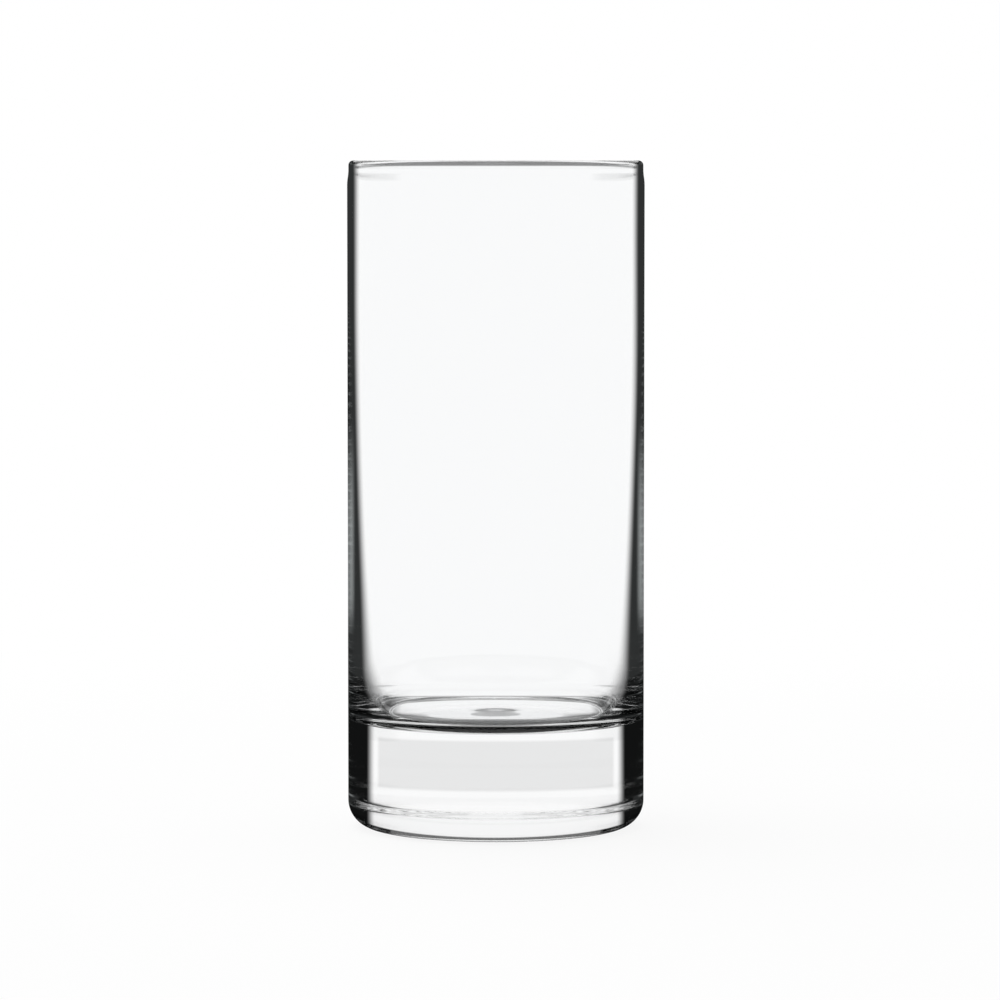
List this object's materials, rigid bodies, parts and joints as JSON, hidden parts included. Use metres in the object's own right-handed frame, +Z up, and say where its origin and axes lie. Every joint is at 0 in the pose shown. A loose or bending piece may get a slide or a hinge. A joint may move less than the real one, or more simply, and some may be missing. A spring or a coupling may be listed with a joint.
{
  "type": "liqueur glass",
  "caption": "Straight-sided clear liqueur glass: slim cylinder with a thick solid base, a wall that thickens downwards, a flat-bottomed cavity with rounded corners and a softly rounded lip.",
  "frame": {"origin": "centre of the foot, in the plane that the glass stands on", "axes": "+Z up along the glass's own axis, from the foot to the mouth; the glass is round, so +X and +Y are any two directions square to it"},
  "size_m": [0.04, 0.04, 0.09],
  "materials": {
    "clear_glass": "clear polished glass, colourless with a faint cool tint where it is thick"
  },
  "bodies": {
    "root": {"tumbler": "clear_glass"}
  },
  "joints": []
}
